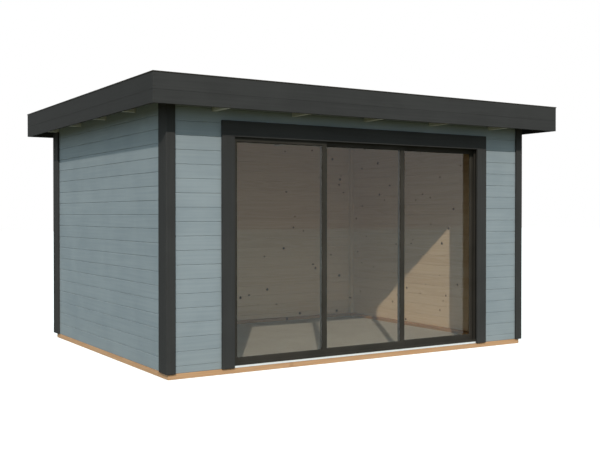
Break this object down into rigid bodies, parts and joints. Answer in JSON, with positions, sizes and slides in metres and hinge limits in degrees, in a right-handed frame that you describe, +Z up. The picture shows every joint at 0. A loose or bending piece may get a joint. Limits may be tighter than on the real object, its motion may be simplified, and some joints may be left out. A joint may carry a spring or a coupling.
{
  "type": "garden office pod",
  "caption": "Flat-roofed garden room of stacked logs with a wide three-track sliding glass door, dark fascia and corner boards, on timber foundation beams.",
  "frame": {"origin": "on the ground, under the middle of the pod", "axes": "+X right along the front, the door faces -Y, +Z up"},
  "size_m": [4.302, 3.449, 2.37],
  "materials": {
    "wall_paint": "blue-grey painted log timber, satin",
    "dark_paint": "near-black painted timber, satin",
    "bare_timber": "bare planed pine, matt",
    "roof_timber": "rafters and boards in bare spruce, matt",
    "glass": "clear toughened glass, polished",
    "threshold": "bright natural aluminium",
    "felt": "mineral roofing felt, matt",
    "floor": "pale floor sheet, matt"
  },
  "bodies": {
    "pod": {"back_wall": "wall_paint", "beam_back": "bare_timber", "beam_front": "bare_timber", "beam_left": "bare_timber", "beam_right": "bare_timber", "casing_head": "dark_paint", "casing_left": "dark_paint", "casing_right": "dark_paint", "corner_battens": "bare_timber", "corner_face_back_left": "dark_paint", "corner_face_back_right": "dark_paint", "corner_face_front_left": "dark_paint", "corner_face_front_right": "dark_paint", "corner_return_back_left": "dark_paint", "corner_return_back_right": "dark_paint", "corner_return_front_left": "dark_paint", "corner_return_front_right": "dark_paint", "door_head": "dark_paint", "door_jamb_left": "dark_paint", "door_jamb_right": "dark_paint", "door_sill": "dark_paint", "door_threshold": "threshold", "fascia_back": "dark_paint", "fascia_front": "dark_paint", "fascia_left": "dark_paint", "fascia_right": "dark_paint", "felt_upstands": "felt", "floor_deck": "floor", "front_wall_header": "wall_paint", "front_wall_left": "wall_paint", "front_wall_right": "wall_paint", "left_wall": "wall_paint", "lookouts_left": "roof_timber", "lookouts_right": "roof_timber", "rafters": "roof_timber", "right_wall": "wall_paint", "roof_deck": "roof_timber", "roof_edge_trim": "dark_paint", "roof_felt": "felt"},
    "left_leaf": {"sash_left": "dark_paint", "glass_left": "glass"},
    "middle_leaf": {"sash_middle": "dark_paint", "glass_middle": "glass"},
    "right_leaf": {"sash_right": "dark_paint", "glass_right": "glass"}
  },
  "joints": [
    {"name": "left_leaf_slide", "type": "slide", "parent": "pod", "child": "left_leaf", "axis": [1, 0, 0], "range_m": [0, 1.776]},
    {"name": "middle_leaf_slide", "type": "slide", "parent": "pod", "child": "middle_leaf", "axis": [1, 0, 0], "range_m": [-0.888, 0.888]},
    {"name": "right_leaf_slide", "type": "slide", "parent": "pod", "child": "right_leaf", "axis": [1, 0, 0], "range_m": [-1.776, 0]}
  ]
}
